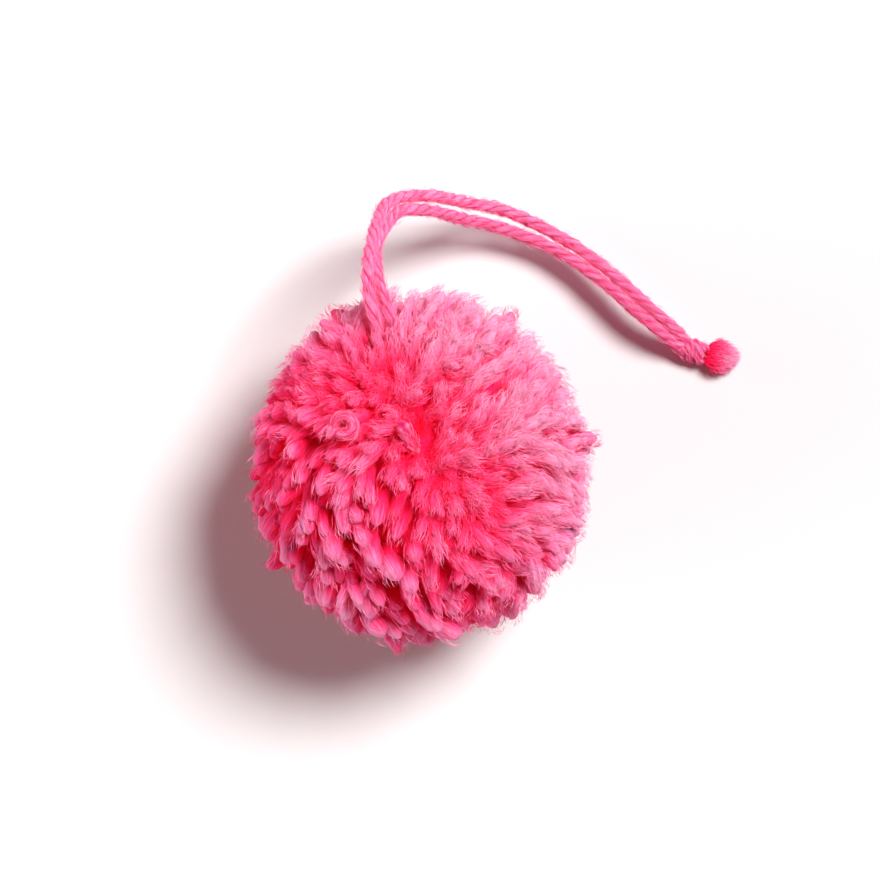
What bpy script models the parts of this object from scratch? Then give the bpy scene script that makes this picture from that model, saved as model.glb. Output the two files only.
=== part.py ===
"""Yarn pom pom with its two-strand tie, knotted near the free ends.

The ball is wound yarn cut into locks that stand out of a core and fall away from a parting. The tie
is two runs of three-ply yarn that leave the ball at one end of the parting, arch over and come down
to an overhand knot, with a short brush of cut plies after it. Metres, +Z up. The origin is the
middle of the level patch that the ball rests on.
"""

import math
import random

import bmesh
import bpy
import numpy as np
from mathutils import Matrix, Vector

MM = 0.001
SEED = 11

# The ball: one lock grows from each square of a core whose sides hold SQUARES x SQUARES of them,
# turned about +Z so that two squares lie side by side under the tie.
SQUARES = 7
SQUARES_TURN = math.radians(-6.4)
CENTRE_HEIGHT = 37.0 * MM
CORE_RADIUS = 28.5 * MM
LOCK_REACH = 39.6 * MM
REACH_VARIES = 1.5 * MM
LOCK_LEAN = 5.0 * MM
LEAN_VARIES = 0.35 * MM
LOCK_TURN = math.radians(5)
INSET = 0.3 * MM
SQUARES_UNEVEN = 0.5 * MM

# Rings of a lock from its root to its blunt end: shares of its length, its square and its lean.
LOCK_RINGS = (
    # height, width, lean
    (0.00, 0.86, 0.00),
    (0.62, 0.83, 0.30),
    (1.00, 0.47, 1.00),
)

# The parting, as directions from the ball's centre, and how much shorter the locks are along it.
PARTING = (
    # x, y, z, dip
    (-0.18, 0.80, 0.58, 1.0 * MM),
    (-0.20, 0.66, 0.72, 2.5 * MM),
    (-0.13, 0.45, 0.88, 3.5 * MM),
    (-0.01, 0.15, 0.99, 3.5 * MM),
    (0.20, -0.08, 0.98, 3.0 * MM),
    (0.36, -0.30, 0.88, 1.5 * MM),
)
PARTING_WIDTH = math.radians(9)
LEAN_FULL_AT = math.radians(32)
LEAN_FADES = (-0.95, -0.10)  # how far down a direction points where the lean ends and is whole

# Locks under the ball end level on the surface, and the ring around them stops short of it.
RESTING_WITHIN = math.radians(20)
LOWEST_FREE_END = 2.4 * MM

# The tie leaves between the locks, where TIE_LOCKS of them are left out.
TIE_LEAVES = (-0.178, 0.778, 0.602)
TIE_LOCKS = 2
TIE_CLEAR = math.radians(17)

# The yarn: three plies laid to the left, looser where the tie leaves the ball.
YARN_DIAMETER = 3.0 * MM
PLY_COUNT = 3
PLY_HALF_ARC = math.radians(24)
PLY_GROOVE = 1.02 * MM
PLY_TURN = 11.0 * MM
PLY_TURN_AT_BALL = 16.0 * MM
LOOSE_LENGTH = 40.0 * MM
RINGS_PER_TURN = 9

ROUTE_STEPS = 12

# Route of the pair's middle, how far apart the two runs lie, and how far the pair has rolled over.
TIE_ROUTE = (
    # x, y, z (mm), apart (mm), roll (degrees)
    (-5.1, 22.5, 54.4, 3.3, 0),
    (-5.9, 25.8, 56.9, 3.3, 0),
    (-6.6, 28.6, 59.0, 3.3, 5),
    (-7.3, 31.6, 60.4, 3.3, 10),
    (-8.2, 35.0, 60.7, 3.3, 20),
    (-9.2, 38.8, 59.7, 3.3, 32),
    (-9.9, 43.0, 57.5, 3.3, 48),
    (-10.0, 47.4, 54.2, 3.3, 65),
    (-9.7, 51.6, 50.0, 3.3, 74),
    (-8.8, 55.4, 45.4, 3.3, 66),
    (-7.4, 59.0, 40.5, 3.4, 42),
    (-5.3, 61.9, 36.0, 3.8, 18),
    (-2.0, 63.3, 31.5, 4.2, 5),
    (3.7, 64.0, 25.0, 4.5, 0),
    (11.5, 63.6, 17.2, 4.5, 0),
    (19.7, 61.8, 11.8, 4.4, 0),
    (29.6, 58.0, 8.4, 4.0, 0),
    (38.5, 53.0, 8.2, 3.4, 0),
    (46.9, 46.6, 9.2, 3.3, 0),
    (52.0, 42.3, 9.8, 3.3, 0),
    (56.0, 38.9, 9.4, 3.3, 0),
    (59.7, 36.0, 7.8, 3.3, 0),
    (62.2, 34.0, 5.7, 3.3, 0),
    (64.7, 32.3, 3.7, 3.3, 0),
)

# The overhand knot, lying on the surface, and the strands that cross over it.
KNOT_AT = (66.8 * MM, 31.3 * MM, 2.4 * MM)
KNOT_SIZE = (5.0 * MM, 5.0 * MM, 4.8 * MM)
KNOT_HEADING = math.radians(-21)
KNOT_WRAPS = 2
KNOT_GROOVE = 0.13
KNOT_RIDGE = 0.21
KNOT_SLANT = 1.9
KNOT_SEGMENTS = 18
KNOT_RINGS = 11

# The brush of cut plies after the knot: a root plate, then locks in columns and two levels.
TUFT_AT = (69.9 * MM, 30.7 * MM, 0.0)
TUFT_HEADING = math.radians(-5)
TUFT_ROOT = (0.9 * MM, 4.2 * MM, 3.2 * MM)
TUFT_ROOT_HEIGHT = 2.5 * MM
TUFT_COLUMNS = 3
TUFT_LEVELS = 2
TUFT_RINGS = (
    # along, column pitch, lock width, lower level's middle, upper level's middle, lock height (mm)
    (3.4, 2.30, 1.95, 1.20, 3.40, 1.75),
    (7.6, 2.50, 1.90, 0.95, 3.35, 1.90),
)
TUFT_SIDE_SHORTER = 0.7 * MM
TUFT_LOCK_GAP = 0.32 * MM

YARN_PINK = (0.90, 0.095, 0.24, 1.0)
TIE_PINK = (0.89, 0.13, 0.29, 1.0)


def clear_scene():
    for obj in list(bpy.data.objects):
        bpy.data.objects.remove(obj, do_unlink=True)


def add_collection(name):
    collection = bpy.data.collections.new(name)
    bpy.context.scene.collection.children.link(collection)
    return collection


def yarn_material(name, colour):
    """Soft spun acrylic: matt, with a little sheen from its loose fibres."""
    material = bpy.data.materials.new(name)
    material.use_nodes = True
    shader = material.node_tree.nodes["Principled BSDF"]
    shader.inputs["Base Color"].default_value = colour
    shader.inputs["Roughness"].default_value = 0.9
    shader.inputs["Metallic"].default_value = 0.0
    shader.inputs["Sheen Weight"].default_value = 0.4
    return material


def add_object(name, data, collection, material, parent):
    obj = bpy.data.objects.new(name, data)
    data.materials.append(material)
    collection.objects.link(obj)
    obj.parent = parent
    return obj


def mesh_from(bm, name):
    bmesh.ops.recalc_face_normals(bm, faces=bm.faces)
    mesh = bpy.data.meshes.new(name)
    bm.to_mesh(mesh)
    bm.free()
    return mesh


def ramp(value, start, end):
    """0 before start, 1 after end, and a smooth rise between them."""
    share = min(max((value - start) / (end - start), 0.0), 1.0)
    return share * share * (3 - 2 * share)


# Ball

def along_parting(direction):
    """The angle from this direction to the parting, and the parting's dip at its nearest point."""
    rows = [(Vector(row[:3]).normalized(), row[3]) for row in PARTING]
    found = []
    for (start, start_dip), (end, end_dip) in zip(rows, rows[1:]):
        along = end - start
        share = (direction - start).dot(along) / along.length_squared
        share = min(max(share, 0.0), 1.0)
        point = (start + along * share).normalized()
        found.append((point.angle(direction), start_dip + (end_dip - start_dip) * share))
    return min(found)


def lean_of(direction):
    """How far a lock's end is carried sideways: away from the parting, upright beside the tie."""
    away = Vector()
    for row in PARTING:
        point = Vector(row[:3]).normalized()
        away += (direction - point) / (point.angle(direction) ** 2 + PARTING_WIDTH**2)
    away -= direction * away.dot(direction)
    angle, _ = along_parting(direction)
    lean = LOCK_LEAN * ramp(angle, 0.0, LEAN_FULL_AT) * ramp(direction.z, *LEAN_FADES)
    from_tie = direction.angle(Vector(TIE_LEAVES))
    return away.normalized() * lean * ramp(from_tie, TIE_CLEAR / 2, 2 * TIE_CLEAR)


def reach_of(direction, lean, chance):
    """Distance of a lock's end from the ball's centre."""
    angle, dip = along_parting(direction)
    reach = LOCK_REACH + REACH_VARIES * chance - dip * (1 - ramp(angle, 0.0, 2 * PARTING_WIDTH))
    down = max(-direction.z, 1e-6)
    if direction.angle(Vector((0, 0, -1))) < RESTING_WITHIN:
        return CENTRE_HEIGHT / down
    return min(reach, (CENTRE_HEIGHT + lean.z - LOWEST_FREE_END) / down)


def ring_corners(face, places):
    """The face's corners, each in the position of the place that it lies nearest to."""
    return [min(face.verts, key=lambda corner: (corner.co - place).length) for place in places]


def grow_lock(bm, face, rng):
    """Grows a four-sided lock out of one square of the core."""
    direction = face.calc_center_median().normalized()
    resting = direction.angle(Vector((0, 0, -1))) < RESTING_WITHIN
    chances = Vector([rng.uniform(-1, 1) for _ in range(3)])
    lean = Vector() if resting else lean_of(direction) + chances * LEAN_VARIES
    reach = reach_of(direction, lean, rng.uniform(-1, 1))
    turn = 0 if resting else rng.uniform(-1, 1) * LOCK_TURN
    places = [corner.co.copy() for corner in face.verts]
    sides = [place - direction * place.dot(direction) for place in places]
    for height, width, lean_share in LOCK_RINGS:
        if height == 0:
            bmesh.ops.inset_individual(bm, faces=[face], thickness=INSET)
            radius = CORE_RADIUS * math.cos(sides[0].length / CORE_RADIUS)
        else:
            face = bmesh.ops.extrude_discrete_faces(bm, faces=[face])["faces"][0]
            radius = CORE_RADIUS + (reach - CORE_RADIUS) * height
        spin = Matrix.Rotation(turn * height, 3, direction)
        corners = ring_corners(face, places)
        for index, (corner, side) in enumerate(zip(corners, sides)):
            spread = radius / CORE_RADIUS * width
            corner.co = direction * radius + spin @ side * spread + lean * lean_share
            if resting and height == 1:
                corner.co.z = -CENTRE_HEIGHT
            places[index] = corner.co.copy()


def pompom_mesh():
    rng = random.Random(SEED)
    bm = bmesh.new()
    bmesh.ops.create_cube(bm, size=2.0)
    bmesh.ops.subdivide_edges(bm, edges=bm.edges[:], cuts=SQUARES - 1, use_grid_fill=True)
    for vert in bm.verts:
        even = Vector([math.tan(side * math.pi / 4) for side in vert.co])
        direction = Matrix.Rotation(SQUARES_TURN, 3, "Z") @ even.normalized()
        uneven = SQUARES_UNEVEN * ramp(direction.z, *LEAN_FADES)
        shift = Vector([rng.uniform(-1, 1) for _ in range(3)]) * uneven
        vert.co = (direction * CORE_RADIUS + shift).normalized() * CORE_RADIUS
    leaves = Vector(TIE_LEAVES).normalized()
    squares = sorted(bm.faces, key=lambda face: face.calc_center_median().angle(leaves))
    for face in squares[TIE_LOCKS:]:
        grow_lock(bm, face, rng)
    return mesh_from(bm, "pompom")


# Tie

def curve_through(rows, steps):
    """Rows read from one smooth Catmull-Rom curve through these rows, steps for each stretch."""
    rows = np.array(rows, float)
    rows = np.vstack([2 * rows[0] - rows[1], rows, 2 * rows[-1] - rows[-2]])
    found = []
    for before, start, end, after in zip(rows, rows[1:], rows[2:], rows[3:]):
        for t in np.arange(steps) / steps:
            found.append(
                0.5 * (2 * start + (end - before) * t
                       + (2 * before - 5 * start + 4 * end - after) * t**2
                       + (3 * start - before - 3 * end + after) * t**3)
            )
    return np.vstack([found, rows[-2]])


def evenly_spaced(points, spacing):
    lengths = np.linalg.norm(np.diff(points, axis=0), axis=1)
    along = np.concatenate([[0], np.cumsum(lengths)])
    wanted = np.linspace(0, along[-1], round(along[-1] / spacing) + 1)
    return np.stack([np.interp(wanted, along, points[:, axis]) for axis in range(3)], axis=1)


def run_route(side):
    """Points of one run of the tie: side is 1 for the outer run and -1 for the inner one."""
    rows = curve_through(TIE_ROUTE, ROUTE_STEPS)
    middles = rows[:, :3] * MM
    tangents = np.gradient(middles, axis=0)
    points = []
    for middle, tangent, (apart, roll) in zip(middles, tangents, rows[:, 3:]):
        tangent = Vector(tangent).normalized()
        left = Vector((0, 0, 1)).cross(tangent).normalized()
        over = tangent.cross(left)
        angle = math.radians(roll)
        offset = (left * math.cos(angle) + over * math.sin(angle)) * side * apart / 2 * MM
        points.append(Vector(middle) + offset)
    return evenly_spaced(np.array(points), PLY_TURN / RINGS_PER_TURN)


def ply_profile(guides):
    """Section of the yarn: each ply is an edge between two points, with a groove between plies."""
    curve = bpy.data.curves.new("yarn_section", "CURVE")
    spline = curve.splines.new("POLY")
    spline.use_cyclic_u = True
    places = []
    for ply in range(PLY_COUNT):
        middle = -2 * math.pi * ply / PLY_COUNT
        places.append((middle + PLY_HALF_ARC, YARN_DIAMETER / 2))
        places.append((middle - PLY_HALF_ARC, YARN_DIAMETER / 2))
        places.append((middle - math.pi / PLY_COUNT, PLY_GROOVE))
    spline.points.add(len(places) - 1)
    for point, (angle, radius) in zip(spline.points, places):
        point.co = (radius * math.cos(angle), radius * math.sin(angle), 0, 1)
    section = bpy.data.objects.new("yarn_section", curve)
    section.hide_render = True
    section.display_type = "WIRE"
    guides.objects.link(section)
    return section


def run_curve(name, points, section):
    """A run of yarn: the section swept along its points and turned to the left as it goes."""
    curve = bpy.data.curves.new(name, "CURVE")
    curve.dimensions = "3D"
    curve.bevel_mode = "OBJECT"
    curve.bevel_object = section
    curve.use_fill_caps = True
    spline = curve.splines.new("POLY")
    spline.points.add(len(points) - 1)
    spacing = float(np.linalg.norm(points[1] - points[0]))
    turned = 0.0
    for index, (point, place) in enumerate(zip(spline.points, points)):
        loose = 1 - ramp(index * spacing, 0.0, LOOSE_LENGTH)
        turn = PLY_TURN + (PLY_TURN_AT_BALL - PLY_TURN) * loose
        point.co = (*place, 1)
        point.tilt = -turned
        turned += 2 * math.pi * spacing / turn
    return curve


def knot_mesh():
    """A rounded lump with slanting ridges where the strands cross over it, level underneath."""
    bm = bmesh.new()
    bmesh.ops.create_uvsphere(bm, u_segments=KNOT_SEGMENTS, v_segments=KNOT_RINGS, radius=1.0)
    bmesh.ops.rotate(bm, verts=bm.verts, matrix=Matrix.Rotation(math.pi / 2, 3, "Y"))
    half = Vector(KNOT_SIZE) / 2
    for vert in bm.verts:
        around = math.atan2(vert.co.z, vert.co.y)
        ridge = abs(math.sin(KNOT_WRAPS / 2 * around + KNOT_SLANT * vert.co.x))
        waist = 1 - vert.co.x**2
        swell = 1 - KNOT_GROOVE + KNOT_RIDGE * ridge * waist
        vert.co = Vector(side * size * swell for side, size in zip(vert.co, half))
        vert.co.z = max(vert.co.z, -KNOT_AT[2])
    return mesh_from(bm, "tie_knot")


def tuft_mesh():
    """A root plate with a splayed lock for each cut ply, the lower ones lying on the surface."""
    bm = bmesh.new()
    place = Matrix.Translation((0, 0, TUFT_ROOT_HEIGHT)) @ Matrix.Diagonal((*TUFT_ROOT, 1))
    bmesh.ops.create_cube(bm, size=1.0, matrix=place)
    for axis, count in ((1, TUFT_COLUMNS), (2, TUFT_LEVELS)):
        for cut in range(1, count):
            at = Vector((0, 0, TUFT_ROOT_HEIGHT))
            at[axis] += TUFT_ROOT[axis] * (cut / count - 0.5)
            normal = Vector((0, 0, 0))
            normal[axis] = 1
            whole = bm.verts[:] + bm.edges[:] + bm.faces[:]
            bmesh.ops.bisect_plane(bm, geom=whole, plane_co=at, plane_no=normal)
    bm.normal_update()
    for face in [face for face in bm.faces if face.normal.x > 0.5]:
        middle = face.calc_center_median()
        column = round(middle.y / (TUFT_ROOT[1] / TUFT_COLUMNS))
        upper = middle.z > TUFT_ROOT_HEIGHT
        bmesh.ops.inset_individual(bm, faces=[face], thickness=TUFT_LOCK_GAP / 2)
        outwards = [(corner.co - face.calc_center_median()) for corner in face.verts]
        for along, pitch, width, low, high, height in TUFT_RINGS:
            face = bmesh.ops.extrude_discrete_faces(bm, faces=[face])["faces"][0]
            ring = Vector((along * MM - TUFT_SIDE_SHORTER * abs(column), pitch * MM * column, 0))
            ring.z = (high if upper else low) * MM
            for corner, outward in zip(face.verts, outwards):
                side = Vector((0, math.copysign(width, outward.y), math.copysign(height, outward.z)))
                corner.co = ring + side / 2 * MM
    return mesh_from(bm, "tie_tuft")


def main():
    clear_scene()
    parts = add_collection("yarn_pompom")
    guides = add_collection("guides")
    ball_yarn = yarn_material("ball yarn", YARN_PINK)
    tie_yarn = yarn_material("tie yarn", TIE_PINK)
    root = bpy.data.objects.new("pompom_root", None)
    parts.objects.link(root)

    ball = add_object("pompom", pompom_mesh(), parts, ball_yarn, root)
    ball.location.z = CENTRE_HEIGHT

    section = ply_profile(guides)
    for name, side in (("tie_run_outer", 1), ("tie_run_inner", -1)):
        add_object(name, run_curve(name, run_route(side), section), parts, tie_yarn, root)

    knot = add_object("tie_knot", knot_mesh(), parts, tie_yarn, root)
    knot.location = KNOT_AT
    knot.rotation_euler.z = KNOT_HEADING
    tuft = add_object("tie_tuft", tuft_mesh(), parts, tie_yarn, root)
    tuft.location = TUFT_AT
    tuft.rotation_euler.z = TUFT_HEADING


main()
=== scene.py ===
# Looks of the yarn pom pom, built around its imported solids.
# Metres, +Z up; the dictionaries hold millimetres and degrees unless a note says otherwise.
import math

import bpy
import numpy as np
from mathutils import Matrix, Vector


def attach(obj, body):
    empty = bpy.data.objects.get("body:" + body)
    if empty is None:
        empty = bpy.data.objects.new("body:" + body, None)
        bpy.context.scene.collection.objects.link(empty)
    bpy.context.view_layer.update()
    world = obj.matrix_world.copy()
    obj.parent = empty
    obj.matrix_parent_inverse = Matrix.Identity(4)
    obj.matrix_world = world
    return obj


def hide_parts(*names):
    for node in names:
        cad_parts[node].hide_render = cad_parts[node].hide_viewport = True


mm = 0.001
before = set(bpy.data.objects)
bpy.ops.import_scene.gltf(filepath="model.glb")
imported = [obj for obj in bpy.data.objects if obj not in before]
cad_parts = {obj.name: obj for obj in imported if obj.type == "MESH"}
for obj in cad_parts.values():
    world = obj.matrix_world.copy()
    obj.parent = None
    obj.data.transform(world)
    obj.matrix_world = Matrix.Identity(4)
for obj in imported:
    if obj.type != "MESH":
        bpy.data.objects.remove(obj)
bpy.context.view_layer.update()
rng = np.random.default_rng(21)
fibreFaces = 12  # no fibre's template has more faces than this
print("frame loaded:", ", ".join(sorted(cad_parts)))


# Small tools

def linear(hexColour):
    parts = [int(hexColour[at:at + 2], 16) / 255 for at in (1, 3, 5)]
    parts = [part / 12.92 if part <= 0.04045 else ((part + 0.055) / 1.055) ** 2.4 for part in parts]
    return (*parts, 1.0)


def rise(value, start, end):
    # 0 before start, 1 after end, with a smooth climb between them
    share = np.clip((value - start) / (end - start), 0, 1)
    return share * share * (3 - 2 * share)


def unit(vectors):
    return vectors / np.maximum(np.linalg.norm(vectors, axis=-1, keepdims=True), 1e-12)


def dot(first, second):
    return (first * second).sum(axis=-1, keepdims=True)


def towards(directions, place, start, end):
    # 0 to 1 over directions, as they come nearer to this one
    return rise(directions @ unit(np.array(place)), start, end)


def wavesOver(directions, pitch, seed):
    # A smooth uneven field over directions, about -1 to 1
    waves = np.random.default_rng(seed)
    ways = unit(waves.normal(0, 1, (7, 3))) * waves.uniform(0.7, 1.3, (7, 1)) * pitch
    return np.sin(directions @ ways.T + waves.uniform(0, 2 * math.pi, 7)).sum(axis=-1) / 2.6


def spindle(sides, rings):
    # A closed template: where each point of a UV sphere lies around it and in which ring.
    bpy.ops.object.select_all(action="DESELECT")
    bpy.ops.mesh.primitive_uv_sphere_add(segments=sides, ring_count=rings, radius=1)
    sphere = bpy.context.object
    bpy.ops.object.mode_set(mode="EDIT")
    bpy.ops.mesh.select_all(action="SELECT")
    bpy.ops.mesh.quads_convert_to_tris()
    bpy.ops.object.mode_set(mode="OBJECT")
    places = np.array([vert.co for vert in sphere.data.vertices])
    faces = np.array([face.vertices for face in sphere.data.polygons])
    bpy.data.objects.remove(sphere)
    ring = np.rint(np.arccos(np.clip(-places[:, 2], -1, 1)) / math.pi * rings).astype(int)
    around = np.arctan2(places[:, 1], places[:, 0])
    # Blender makes three rings at least, so a template of two has its middle ring twice. Those points are
    # merged, and the faces between them go.
    keys = np.stack([ring, np.rint(around * 1000).astype(int)], axis=1)
    _, first, same = np.unique(keys, axis=0, return_index=True, return_inverse=True)
    kept = np.sort(first)
    faces = np.searchsorted(kept, first[same.reshape(-1)])[faces]
    real = (faces != np.roll(faces, 1, axis=1)).all(axis=1)
    return {"around": around[kept], "ring": ring[kept], "faces": faces[real]}


def sweepCopies(shape, centres, sideA, sideB, halfWidths):
    # One copy of a template bent along each row of ring centres.
    ring, around = shape["ring"], shape["around"][:, None]
    sideways = sideA[:, ring] * np.cos(around) + sideB[:, ring] * np.sin(around)
    return centres[:, ring] + sideways * halfWidths[:, ring, None]


def makePiece(name, shape, points, material, **attributes):
    copies, perCopy = points.shape[:2]
    corners = shape["faces"][None] + perCopy * np.arange(copies)[:, None, None]
    corners = corners.reshape(-1).astype(np.int32)
    mesh = bpy.data.meshes.new(name)
    mesh.vertices.add(copies * perCopy)
    mesh.vertices.foreach_set("co", points.astype(np.float32).ravel())
    mesh.loops.add(len(corners))
    mesh.loops.foreach_set("vertex_index", corners)
    mesh.polygons.add(len(corners) // 3)
    mesh.polygons.foreach_set("loop_start", np.arange(0, len(corners), 3, dtype=np.int32))
    for label, values in attributes.items():
        kind, field = ("FLOAT_VECTOR", "vector") if values.ndim == 3 else ("FLOAT", "value")
        layer = mesh.attributes.new(label, kind, "POINT")
        layer.data.foreach_set(field, values.astype(np.float32).ravel())
    mesh.update(calc_edges=True)
    if len(shape["faces"]) > fibreFaces:
        mesh.shade_smooth()
    else:  # a fibre is thinner than a pixel, and flat faces lose none of its light
        mesh.shade_flat()
    mesh.materials.append(material)
    piece = bpy.data.objects.new(name, mesh)
    bpy.context.scene.collection.objects.link(piece)
    print(f"  {name}: {len(corners) // 3} triangles")
    return piece


# Camera, light and floor, as in the photograph: seen from above, lit softly from the upper right

view = {
    "elevation": 86,
    "target": (5.35, 7.2, 37),
    "distance": 850,
    "lens": 150,
    "sensor": 36,
}


def addCamera():
    tilt = math.radians(view["elevation"])
    back = Vector((0, -math.cos(tilt), math.sin(tilt)))
    camera = bpy.data.objects.new("camera", bpy.data.cameras.new("camera"))
    camera.location = Vector(view["target"]) * mm + back * view["distance"] * mm
    camera.rotation_euler = (-back).to_track_quat("-Z", "Y").to_euler()
    camera.data.lens = view["lens"]
    camera.data.sensor_width = view["sensor"]
    bpy.context.scene.collection.objects.link(camera)
    bpy.context.scene.camera = camera


studio = {
    "lamps": (
        # name, direction to it, softness (degrees), strength
        ("softbox", (0.41, 0.32, 0.854), 22, 4.7),
        ("reflector", (-0.95, -0.22, 0.18), 60, 2.0),
    ),
    "fill": 0.17,
    "fillColour": "#FFACB6",  # light that the yarn itself has tinted on its way back from the surroundings
    "backdrop": "#F6F6F6",
    "floorColour": "#DADADA",
    "floorSize": 4000,
    "bounces": 16,  # light goes from fibre to fibre many times before it leaves the ball
}


def addStudio():
    scene = bpy.context.scene
    scene.view_settings.view_transform = "Standard"
    scene.cycles.max_bounces = studio["bounces"]
    scene.cycles.diffuse_bounces = studio["bounces"]
    for name, source, softness, strength in studio["lamps"]:
        lamp = bpy.data.lights.new(name, "SUN")
        lamp.energy = strength
        lamp.angle = math.radians(softness)
        light = bpy.data.objects.new(name, lamp)
        light.rotation_euler = Vector(source).to_track_quat("Z", "Y").to_euler()
        scene.collection.objects.link(light)

    world = bpy.data.worlds.new("studio")
    scene.world = world
    world.use_nodes = True
    nodes, links = world.node_tree.nodes, world.node_tree.links
    nodes.clear()
    fill = nodes.new("ShaderNodeBackground")
    fill.inputs["Strength"].default_value = studio["fill"]
    fill.inputs["Color"].default_value = linear(studio["fillColour"])
    backdrop = nodes.new("ShaderNodeBackground")
    backdrop.inputs["Color"].default_value = linear(studio["backdrop"])
    seen = nodes.new("ShaderNodeLightPath")
    choose = nodes.new("ShaderNodeMixShader")
    out = nodes.new("ShaderNodeOutputWorld")
    links.new(seen.outputs["Is Camera Ray"], choose.inputs["Fac"])
    links.new(fill.outputs["Background"], choose.inputs[1])
    links.new(backdrop.outputs["Background"], choose.inputs[2])
    links.new(choose.outputs["Shader"], out.inputs["Surface"])

    bpy.ops.object.select_all(action="DESELECT")
    bpy.ops.mesh.primitive_grid_add(x_subdivisions=8, y_subdivisions=8, size=studio["floorSize"] * mm)
    floor = bpy.context.object
    floor.name = "floor"
    paper = bpy.data.materials.new("white matt paper")  # flat and chalky, no gloss
    paper.use_nodes = True
    shader = paper.node_tree.nodes["Principled BSDF"]
    shader.inputs["Base Color"].default_value = linear(studio["floorColour"])
    shader.inputs["Roughness"].default_value = 0.9
    shader.inputs["Specular IOR Level"].default_value = 0.2
    floor.data.materials.append(paper)


addCamera()
addStudio()
print("camera, light and floor placed")


# Materials

def addNode(material, kind, inputs=None, **settings):
    node = material.node_tree.nodes.new(kind)
    for name, value in settings.items():
        setattr(node, name, value)
    for socket, value in (inputs or {}).items():
        if isinstance(value, bpy.types.NodeSocket):
            material.node_tree.links.new(value, node.inputs[socket])
        else:
            node.inputs[socket].default_value = value
    return node


streakWidth = 0.5


def acrylicYarn(name, look):
    # Brushed acrylic: many fine dyed fibres. Light that goes in between them would come back redder each
    # time; here the colour ramp on the depth attribute paints that as shade, so the depths are painted
    # darker and saturated. The loose ends outside are drawn pale and dry, partly their own look and partly
    # painted light.
    material = bpy.data.materials.new(name)
    material.use_nodes = True
    shader = material.node_tree.nodes["Principled BSDF"]
    depth = addNode(material, "ShaderNodeAttribute", attribute_name="depth")
    shade = addNode(material, "ShaderNodeAttribute", attribute_name="shade")
    laid = addNode(material, "ShaderNodeAttribute", attribute_name="laid")
    # Real fibres are 0.02 mm thick and would not show, so their streaks are drawn wider.
    along = addNode(
        material, "ShaderNodeMapping", {"Vector": laid.outputs["Vector"], "Scale": (1, 1, 0.09)}
    )
    streaks = addNode(
        material,
        "ShaderNodeTexNoise",
        {"Vector": along.outputs["Vector"], "Scale": 1 / streakWidth, "Detail": 4.0, "Roughness": 0.7},
    )
    uneven = addNode(
        material, "ShaderNodeMath",
        {0: streaks.outputs["Fac"], 1: look["streaks"], 2: -0.5 * look["streaks"]},
        operation="MULTIPLY_ADD",
    )
    place = addNode(
        material, "ShaderNodeMath", {0: depth.outputs["Fac"], 1: uneven.outputs["Value"]}, operation="ADD"
    )
    place = addNode(
        material, "ShaderNodeMath", {0: place.outputs["Value"], 1: shade.outputs["Fac"]}, operation="ADD",
        use_clamp=True,
    )
    colours = addNode(material, "ShaderNodeValToRGB", {"Fac": place.outputs["Value"]})
    band = colours.color_ramp
    band.interpolation = "B_SPLINE"
    while len(band.elements) < len(look["colours"]):
        band.elements.new(0.5)
    for stop, (position, colour) in zip(band.elements, look["colours"]):
        stop.position = position
        stop.color = linear(colour)
    bump = addNode(
        material,
        "ShaderNodeBump",
        {"Height": streaks.outputs["Fac"], "Strength": look["bump"], "Distance": streakWidth * mm},
    )
    links = material.node_tree.links
    links.new(colours.outputs["Color"], shader.inputs["Base Color"])
    links.new(bump.outputs["Normal"], shader.inputs["Normal"])
    shader.inputs["Roughness"].default_value = 0.9
    shader.inputs["Specular IOR Level"].default_value = 0.1
    shader.inputs["Subsurface Weight"].default_value = look["softness"]
    shader.inputs["Subsurface Radius"].default_value = (1.0, 0.45, 0.50)
    shader.inputs["Subsurface Scale"].default_value = look["lightReach"] * mm
    shader.inputs["Sheen Weight"].default_value = look["sheen"]
    shader.inputs["Sheen Roughness"].default_value = 0.5
    shader.inputs["Sheen Tint"].default_value = linear("#FFD0E2")
    return material


# Positions on the ramps: 0 is the outside of the yarn and 1 is deep between the locks. The darker, more
# saturated colours towards 1 are painted shade of the depths; the pale colours at 0 are the loose outside,
# partly its own colour and partly painted light.
ballColours = (
    (0.00, "#F2ACCC"),
    (0.25, "#F488B6"),
    (0.50, "#F95590"),
    (0.75, "#FC2B6C"),
    (1.00, "#FF0E54"),
)
tieColours = (
    (0.00, "#F690BC"),
    (0.35, "#F768A0"),
    (0.70, "#F73C7E"),
    (1.00, "#F51C5C"),
)
bodyLook = {"streaks": 1.3, "bump": 0.9, "softness": 0.7, "lightReach": 1.8, "sheen": 0.1}
fibreLook = {"streaks": 0.0, "bump": 0.0, "softness": 0.0, "lightReach": 1.0, "sheen": 0.1}
lockYarn = acrylicYarn("brushed acrylic locks", {**bodyLook, "colours": ballColours})
fibreYarn = acrylicYarn("loose acrylic fibres", {**fibreLook, "colours": ballColours})
tieYarn = acrylicYarn("three-ply acrylic yarn", {**bodyLook, "streaks": 2.2, "colours": tieColours})
tieFibreYarn = acrylicYarn("loose tie fibres", {**fibreLook, "colours": tieColours})
print("materials made")


# Tie: two runs of three-ply yarn, from the ball's core over to the knot

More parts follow.
